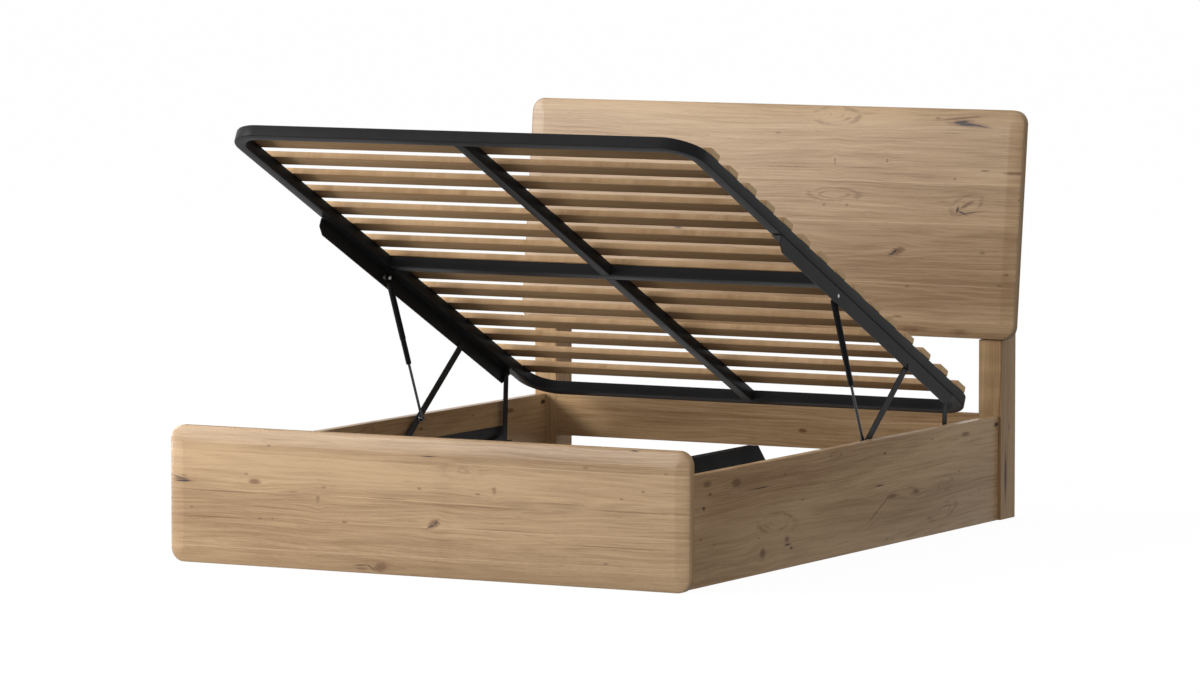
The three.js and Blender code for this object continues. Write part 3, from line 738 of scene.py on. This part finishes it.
HEAD_MARKS = (
    (0.645, 0.6300, 0.042, 0.0045, "dark", -0.05),
    (0.690, 0.6250, 0.022, 0.0016, "dark", -0.1),
    (0.625, 0.6360, 0.024, 0.0045, "dark", 0.12),
    (0.620, 0.6480, 0.060, 0.0030, "brown", 0.1),
    (0.546, 0.646, 0.007, 0.003, "brown"),
    (0.212, 0.645, 0.072, 0.026, "loop"),
    (0.212, 0.647, 0.046, 0.017, "loop"),
    (0.212, 0.649, 0.022, 0.008, "loop"),
    (0.406, 0.574, 0.070, 0.0012, "line"),
    (0.070, 0.489, 0.140, 0.0022, "line"),
    (0.290, 0.4935, 0.085, 0.0018, "line"),
    (0.215, 0.511, 0.003, 0.010, "brown"),
    (0.388, 0.517, 0.003, 0.006, "brown"),
    (0.475, 0.4775, 0.098, 0.0016, "line"),
    (0.711, 0.495, 0.012, 0.0022, "brown"),
    (0.613, 0.468, 0.005, 0.004, "brown"),
    (0.627, 0.377, 0.004, 0.008, "dark", -0.3),
    (0.644, 0.368, 0.014, 0.0022, "dark", -0.35),
    (0.668, 0.369, 0.024, 0.0013, "dark", 0.12),
    (0.655, 0.392, 0.024, 0.0045, "brown", 0.5),
    (0.655, 0.392, 0.052, 0.026, "loop", 0.35),
    (0.217, 0.411, 0.082, 0.019, "loop"),
    (0.217, 0.411, 0.048, 0.010, "loop"),
    (0.186, 0.379, 0.005, 0.004, "brown"),
    (0.262, 0.381, 0.005, 0.004, "brown"),
    (0.428, 0.247, 0.011, 0.0040, "dark", 0.75),
    (0.438, 0.250, 0.019, 0.0095, "brown", 0.35),
    (0.418, 0.239, 0.008, 0.0022, "dark", 0.2),
    (0.716, 0.252, 0.007, 0.004, "brown"),
    (0.566, 0.180, 0.036, 0.0018, "line"),
    (0.476, 0.146, 0.007, 0.003, "brown"),
    (0.796, 0.190, 0.007, 0.004, "brown"),
    (0.776, 0.158, 0.007, 0.003, "brown"),
    (0.447, 0.056, 0.014, 0.0022, "brown"),
    (0.500, 0.018, 0.060, 0.013, "stain"),
    (0.655, 0.014, 0.050, 0.012, "stain"),
    # Painted shade: a wide darkening along the headboard's bottom edge on the right
    (0.640, 0.004, 0.300, 0.026, "shade"),
    (0.808, 0.489, 0.030, 0.004, "brown"),
    (0.823, 0.411, 0.004, 0.004, "brown"),
    (0.020, 0.590, 0.008, 0.003, "brown"),
    (0.594, 0.603, 0.045, 0.0012, "line"),
    (-0.560, 0.470, 0.080, 0.020, "ring"),
    (-0.300, 0.300, 0.014, 0.006, "dark"),
)
HEAD_JOINS = (
    (0.8630, 0.010, 0.09, 0.84, -0.06),
    (0.9850, 0.004, -0.84, 0.84, -0.12),
    (0.6900, -0.006, -0.84, 0.84, 0.05),
)
SIDE_MARKS = (
    (0.189, 0.278, 0.020, 0.007, "brown"),
    (0.361, 0.267, 0.024, 0.010, "brown"),
    (0.654, 0.263, 0.006, 0.003, "brown"),
    (0.506, 0.2385, 0.048, 0.0015, "dark"),
    (0.765, 0.182, 0.006, 0.003, "brown"),
    (0.169, 0.214, 0.007, 0.004, "dark"),
    (0.974, 0.288, 0.034, 0.009, "loop"),
    (0.974, 0.288, 0.016, 0.004, "loop"),
    (1.284, 0.265, 0.010, 0.004, "brown"),
    (1.820, 0.274, 0.022, 0.006, "brown"),
    (1.596, 0.278, 0.006, 0.003, "brown"),
    (1.402, 0.141, 0.085, 0.013, "loop", 0.02),
    (1.2485, 0.1095, 0.0720, 0.0022, "brown", 0.442),
    (1.205, 0.070, 0.050, 0.0014, "line", 0.30),
    (1.330, 0.138, 0.028, 0.006, "brown"),
    (1.490, 0.137, 0.018, 0.007, "brown"),
    (1.689, 0.141, 0.048, 0.017, "loop", 0.1),
    (1.693, 0.143, 0.022, 0.008, "loop", 0.1),
    (1.668, 0.063, 0.090, 0.022, "loop", 0.15),
    (1.676, 0.064, 0.045, 0.011, "loop", 0.15),
    (0.610, 0.129, 0.110, 0.030, "loop", -0.1),
    (0.600, 0.131, 0.065, 0.017, "loop", -0.1),
    (0.595, 0.132, 0.028, 0.007, "loop", -0.1),
    (1.778, 0.169, 0.007, 0.003, "brown"),
    (1.915, 0.106, 0.008, 0.002, "brown"),
    (0.672, 0.065, 0.014, 0.0025, "dark"),
    (0.695, 0.053, 0.007, 0.003, "dark"),
    (0.520, 0.056, 0.014, 0.012, "brown"),
    (1.300, 0.018, 0.005, 0.003, "brown"),
    (0.495, 0.101, 0.008, 0.002, "brown"),
    (0.231, 0.110, 0.006, 0.003, "brown"),
    (0.150, 0.130, 0.008, 0.003, "brown"),
    (1.251, 0.176, 0.022, 0.0018, "dark"),
    (0.206, 0.249, 0.010, 0.004, "brown"),
    (0.668, 0.080, 0.012, 0.008, "brown"),
    (2.030, 0.284, 0.012, 0.006, "dark"),
)
LEG_MARKS = (
    (0.130, LEG_OUTER + 1.006, 0.056, 0.0058, "dark"),
    (0.270, LEG_OUTER + 1.030, 0.010, 0.003, "brown"),
)
RAIL_MARKS = ((0.13, 0.235, 0.012, 0.006, "brown"),)


def pair(name):
    """A CAD name's right and left nodes."""
    return f"{name}_right", f"{name}_left"


class OTTOMAN_OT_boards(bpy.types.Operator):
    """Builds the headboard, footboard, side panels and rear rail, and finishes the legs"""

    bl_idname = "ottoman.boards"
    bl_label = "Boards"

    def execute(self, context):
        s = context.scene.ottoman_boards
        light, dark = tuple(s.light), tuple(s.dark)
        bevel = (s.bevel, s.depth)
        front = wood(
            "footboard_oak", light, dark, lambda x, y, z: (x, z), FOOT_MARKS, FOOT_JOINS, 1.0, 0.28, 0.5
        )
        points, faces = slab(*FOOTBOARD, s.radius, bevel, BOARD_ARRIS, BOARD_GROOVE)
        points = np.stack([points[:, 0], points[:, 2] - MID_Y, points[:, 1] + FOOTBOARD[1]], 1)
        rim = edging("footboard_edge", light, dark, lambda y, z: y + (MID_Y - s.depth), 2.0)
        make("footboard_board", (points, faces), front, "base", "footboard", BOARD_CREASE, rim)

        marks = [(a, HEAD_FOOT[2] + b * math.cos(LEAN), *rest) for a, b, *rest in HEAD_MARKS]
        # The headboard's wood, darkened and greyed: painted shade and painted sheen
        shade = [tinted(tone, HEADBOARD_SHADE_AND_SHEEN) for tone in (light, dark)]
        back = wood(
            "headboard_oak", *shade, lambda x, y, z: (x, z), marks, HEAD_JOINS, 5.0, 0.34, 0.38
        )
        points, faces = slab(*HEADBOARD, s.radius, bevel, BOARD_ARRIS, BOARD_GROOVE)
        rise = np.array((0.0, math.sin(LEAN), math.cos(LEAN)))
        deep = np.array((0.0, math.cos(LEAN), -math.sin(LEAN)))
        points = (
            HEAD_FOOT
            + points[:, 0:1] * ACROSS
            + (points[:, 1:2] + HEADBOARD[1]) * rise
            + points[:, 2:3] * deep
        )
        lean = math.tan(LEAN)
        start = HEAD_FOOT[1] - HEAD_FOOT[2] * lean + s.depth
        rim = edging("headboard_edge", *shade, lambda y, z: y - z * lean - start, 6.0)
        make("headboard_board", (points, faces), back, "base", "headboard", BOARD_CREASE, rim)

        marks = [(a - MID_Y, *rest) for a, *rest in SIDE_MARKS]
        side = wood("side_oak", light, dark, lambda x, y, z: (y, z), marks, (), 9.0)
        low, high = SIDE_ENDS
        half, middle = (high - low) / 2, (low + high) / 2
        for name, sign in zip(pair("side_panel"), (1, -1)):
            points, faces = slab(
                half, SIDE_HALF_HEIGHT, SIDE_THICKNESS, SIDE_ARRIS, (0.0, 0.0), SIDE_ARRIS, 0.0, 3
            )
            out, along, up = points[:, 2], points[:, 0], points[:, 1]
            points = np.stack([sign * (SIDE_OUTER - out), along + middle, up + SIDE_HALF_HEIGHT], 1)
            make(name + "_board", (points, faces), side, "base", name, 25.0)

        rail = wood("rail_oak", light, dark, lambda x, y, z: (x, z), RAIL_MARKS, (), 13.0)
        points, faces = slab(*RAIL, BOARD_ARRIS, (0.0, 0.0), BOARD_ARRIS, 0.0, 3)
        points = np.stack([points[:, 0], points[:, 2] + RAIL_FRONT - MID_Y, points[:, 1] + RAIL_MIDDLE], 1)
        make("rear_rail_board", (points, faces), rail, "base", "rear_rail", 25.0)

        # The legs' wood, darkened: painted shade
        shade = [tinted(tone, LEG_PAINTED_SHADE) for tone in (light, dark)]
        post = wood("leg_oak", *shade, lambda x, y, z: (z, x + y), LEG_MARKS, (), 17.0)
        dress(post, *pair("leg"))
        return {"FINISHED"}


class OTTOMAN_OT_platform(bpy.types.Operator):
    """Builds the bent end tubes, side tubes and beams, and finishes the rails and brackets"""

    bl_idname = "ottoman.platform"
    bl_label = "Platform frame"

    def execute(self, context):
        s = context.scene.ottoman_platform
        base = tuple(s.coat)
        coat = powder_coat("black_coat", base)
        mid, level = TUBE_WIDTH / 2, -TUBE_HEIGHT / 2
        section = rounded_rectangle(mid, TUBE_HEIGHT / 2, s.tube_radius, 4)

        # The bow's path: a straight tail, a quarter circle, and the same mirrored
        a = np.linspace(math.pi, 1.5 * math.pi, s.bend_steps + 1)
        radius, corner = BEND_OUTER - mid, FRAME_HALF - BEND_OUTER
        left = np.stack([-corner + radius * np.cos(a), BEND_OUTER + radius * np.sin(a)], 1)
        tail, flank = BEND_OUTER + BOW_TAIL, FRAME_HALF - mid
        flat = np.concatenate([[(-flank, tail)], left, (left * (-1, 1))[::-1], [(flank, tail)]])
        path = np.concatenate([flat, np.full((len(flat), 1), level)], 1)
        turn = np.concatenate([[math.pi], a, (3 * math.pi - a)[::-1], [2 * math.pi]])
        side = np.stack([np.cos(turn), np.sin(turn), 0 * turn], 1)
        up = np.tile((0.0, 0.0, 1.0), (len(path), 1))
        bow = carried(path, side, up, section)
        for name, flip in (("front_bow", False), ("rear_bow", True)):
            shape = bow.copy()
            if flip:
                shape[..., 1] = FRAME_LENGTH - shape[..., 1]
            make(name + "_tube", skin(on_platform(shape)), coat, "platform", name)

        def straight(name, start, stop, half=mid, facing=(1.0, 0.0, 0.0)):
            """A rounded tube from start to stop, its width along facing."""
            ends = np.array([(*start, level), (*stop, level)], float)
            box = rounded_rectangle(half, TUBE_HEIGHT / 2, s.tube_radius, 4)
            rings = carried(ends, np.tile(facing, (2, 1)), up[:2], box)
            make(name + "_bar", skin(on_platform(rings)), coat, "platform", name)

        near, far = tail + JOINT_GAP, FRAME_LENGTH - tail - JOINT_GAP
        straight("side_tube_right", (flank, near), (flank, far))
        straight("side_tube_left", (-flank, near), (-flank, far))
        inner = FRAME_HALF - TUBE_WIDTH - JOINT_GAP
        line = CROSS_FRONT + mid
        straight("cross_beam", (-inner, line), (inner, line), facing=(0.0, 1.0, 0.0))
        for name, start, stop in (
            ("centre_beam_front", TUBE_WIDTH + JOINT_GAP, CROSS_FRONT - JOINT_GAP),
            (
                "centre_beam_rear",
                CROSS_FRONT + TUBE_WIDTH + JOINT_GAP,
                FRAME_LENGTH - TUBE_WIDTH - JOINT_GAP,
            ),
        ):
            straight(name, (CENTRE_X, start), (CENTRE_X, stop), CENTRE_HALF)
        dress(coat, *pair("upper_rail"), *pair("lower_bracket"), *pair("corner_bracket"))
        # Painted shade: the base beam gets a darker copy of the black coat
        dress(powder_coat("beam_coat", tuple(v * 0.6 for v in base), 0.6), "centre_base_beam")
        link_coat = powder_coat("link_coat", tuple(v * 1.15 for v in base), 0.36)
        dress(link_coat, *pair("front_link"), *pair("rear_link"))
        dress(powder_coat("foot_plastic", base, 0.6), "centre_foot")
        return {"FINISHED"}


class OTTOMAN_OT_slats(bpy.types.Operator):
    """Builds the fifteen slats"""

    bl_idname = "ottoman.slats"
    bl_label = "Slats"

    def execute(self, context):
        s = context.scene.ottoman_slats
        look = wood(
            "slat_wood",
            tuple(s.light),
            tuple(s.dark),
            lambda x, y, z: (x, y * 0.9 - z * 0.436),
            seed=21.0,
            rough=0.5,
            shine=0.0,
            ends=SLAT_END,
            calm=0.45,
        )
        section = rounded_rectangle(SLAT_HALF_WIDTH, SLAT_HALF_THICKNESS, s.edge, 4)

        # The ends' small chamfer: how far in from the end, and how much smaller all round
        back = np.array((0.0, 0.0004, 0.001))
        x = np.concatenate([back - SLAT_HALF, (SLAT_HALF - back)[::-1]])
        shrink = np.array((0.0008, 0.0003, 0.0, 0.0, 0.0003, 0.0008))[:, None]
        for i in range(SLATS):
            rear = max(0, i - LAST_EVEN)
            mid = FIRST_SLAT + (i - rear) * SLAT_PITCH + rear * REAR_PITCH + SLAT_HALF_WIDTH
            rings = np.empty((len(x), len(section), 3))
            rings[..., 0] = x[:, None]
            rings[..., 1] = mid + section[:, 0] * (1 - shrink / SLAT_HALF_WIDTH)
            rings[..., 2] = SLAT_MIDDLE_HEIGHT + section[:, 1] * (1 - shrink / SLAT_HALF_THICKNESS)
            node = f"slat_{i + 1:02d}"
            make(node + "_wood", skin(on_platform(rings)), look, "platform", node)
        return {"FINISHED"}


class OTTOMAN_OT_struts(bpy.types.Operator):
    """Builds the gas struts and finishes their studs"""

    bl_idname = "ottoman.struts"
    bl_label = "Gas struts"

    def execute(self, context):
        s = context.scene.ottoman_struts
        tube = powder_coat("strut_coat", tuple(s.tube), 0.3)
        rod = bright_metal("strut_rod_metal", tuple(s.rod), 0.16)
        bright = bright_metal("stud_metal", tuple(s.stud), 0.3)
        arc = np.linspace(0, math.pi / 2, 7)[1:]
        dome = [(SHAFT_EYE[-1][0] - DOME_HEIGHT * math.sin(a), DOME_RADIUS * math.cos(a)) for a in arc]
        for side, sign in (("right", 1), ("left", -1)):
            top = STRUT_TOP + np.array((sign * STRUT_X, 0.0, 0.0))
            low = top + STRUT_WAY * STRUT_LENGTH

            def put(name, shape, material, body, node):
                make(f"{name}_{side}", shape, material, body, f"{node}_{side}")

            eye = skin(turned(EYE, top, ACROSS), False, True)
            barrel = skin(turned(BARREL, top, STRUT_WAY), False)
            put("strut_barrel", joined([eye, barrel]), tube, "strut_cylinders", "strut_cylinder")
            sleeve = skin(turned(SLEEVE, top, STRUT_WAY), False, True)
            put("strut_sleeve", sleeve, tube, "strut_inner_tubes", "strut_inner")
            shaft = skin(turned(SHAFT, top, STRUT_WAY), False)
            ball = skin(turned([(d * sign, r) for d, r in (*SHAFT_EYE, *dome)], low, ACROSS), False)
            put("strut_shaft", joined([shaft, ball]), rod, "strut_rods", "strut_rod")
            pin = skin(turned([(d * sign, r) for d, r in TOP_STUD], STRUT_TOP, ACROSS), False)
            put("strut_pin", pin, bright, "platform", "strut_top_stud")
        dress(bright, *pair("strut_lower_stud"))
        return {"FINISHED"}


class OTTOMAN_OT_studio(bpy.types.Operator):
    """Adds the floor, the lights, the surroundings and the camera"""

    bl_idname = "ottoman.studio"
    bl_label = "Studio"

    def execute(self, context):
        scene = context.scene
        s = scene.ottoman_studio
        mesh = bpy.data.meshes.new("floor")
        corners = ((-1, -1), (1, -1), (1, 1), (-1, 1))
        points = [(x * FLOOR_HALF, y * FLOOR_HALF, -FLOOR_DROP) for x, y in corners]
        mesh.from_pydata(points, [], [(0, 1, 2, 3)])
        floor = bpy.data.objects.new("floor", mesh)
        scene.collection.objects.link(floor)
        look = Look("floor_white")
        look.wear((FLOOR_GREY,) * 3, 0.9, shine=0.0)
        glow = look.node("Emission", {}, {"Strength": FLOOR_GLOW})
        look.backdrop(Term(look, look.shader.outputs[0]), glow, GLOW_SHARE)
        mesh.materials.append(look.material)

        scene.world = bpy.data.worlds.new("studio")
        look = Look("studio", scene.world)
        light, seen = (
            look.node("Background", {}, {"Color": WHITE, "Strength": strength})
            for strength in (s.sky, 1.0)
        )
        look.backdrop(light, seen)

        def panel(name, place, target, width, height, power):
            """A rectangular lamp at place, facing target."""
            data = bpy.data.lights.new(name, "AREA")
            data.shape, data.size, data.size_y, data.energy = "RECTANGLE", width, height, power
            lamp = bpy.data.objects.new(name, data)
            lamp.location = place
            way = Vector(target) - Vector(place)
            lamp.rotation_euler = way.to_track_quat("-Z", "Y").to_euler()
            scene.collection.objects.link(lamp)

        panel("key", (-6.0, -4.12, 3.16), VIEW_CENTRE, 3.0, 2.6, s.key)
        panel("fill", (-3.6, -2.4, 0.3), (0.0, 0.0, 0.8), 1.1, 0.3, s.fill)
        panel("strip", (-8.4, -15.6, 3.0), VIEW_CENTRE, 7.0, 2.8, s.strip)

        scene.view_settings.view_transform = "Standard"
        data = bpy.data.cameras.new("camera")
        camera = bpy.data.objects.new("camera", data)
        data.lens, data.sensor_width = LENS, SENSOR
        data.clip_start, data.clip_end = 0.5, 200.0
        camera.location = CAMERA_PLACE
        camera.rotation_euler = (math.pi / 2 - CAMERA_DOWN, 0.0, CAMERA_TURN)
        scene.collection.objects.link(camera)
        scene.camera = camera
        return {"FINISHED"}


OPERATORS = (
    OTTOMAN_OT_boards,
    OTTOMAN_OT_platform,
    OTTOMAN_OT_slats,
    OTTOMAN_OT_struts,
    OTTOMAN_OT_studio,
)


class OTTOMAN_PT_panel(bpy.types.Panel):
    """Lists the bed's pieces and the studio"""

    bl_idname = "OTTOMAN_PT_panel"
    bl_label = "Ottoman Bed"
    bl_space_type = "VIEW_3D"
    bl_region_type = "UI"
    bl_category = "Ottoman Bed"

    def draw(self, context):
        for operator in OPERATORS:
            self.layout.operator(operator.bl_idname)


def register():
    for group in GROUPS:
        bpy.utils.register_class(group)
    scene = bpy.types.Scene
    scene.ottoman_boards = bpy.props.PointerProperty(type=BoardSettings)
    scene.ottoman_platform = bpy.props.PointerProperty(type=PlatformSettings)
    scene.ottoman_slats = bpy.props.PointerProperty(type=SlatSettings)
    scene.ottoman_struts = bpy.props.PointerProperty(type=StrutSettings)
    scene.ottoman_studio = bpy.props.PointerProperty(type=StudioSettings)
    for operator in OPERATORS:
        bpy.utils.register_class(operator)
    bpy.utils.register_class(OTTOMAN_PT_panel)


def unregister():
    bpy.utils.unregister_class(OTTOMAN_PT_panel)
    for operator in reversed(OPERATORS):
        bpy.utils.unregister_class(operator)
    for name in ("boards", "platform", "slats", "struts", "studio"):
        delattr(bpy.types.Scene, "ottoman_" + name)
    for group in reversed(GROUPS):
        bpy.utils.unregister_class(group)


def main():
    register()
    for step in (
        bpy.ops.ottoman.boards,
        bpy.ops.ottoman.platform,
        bpy.ops.ottoman.slats,
        bpy.ops.ottoman.struts,
        bpy.ops.ottoman.studio,
    ):
        step()


if __name__ == "__main__":
    main()
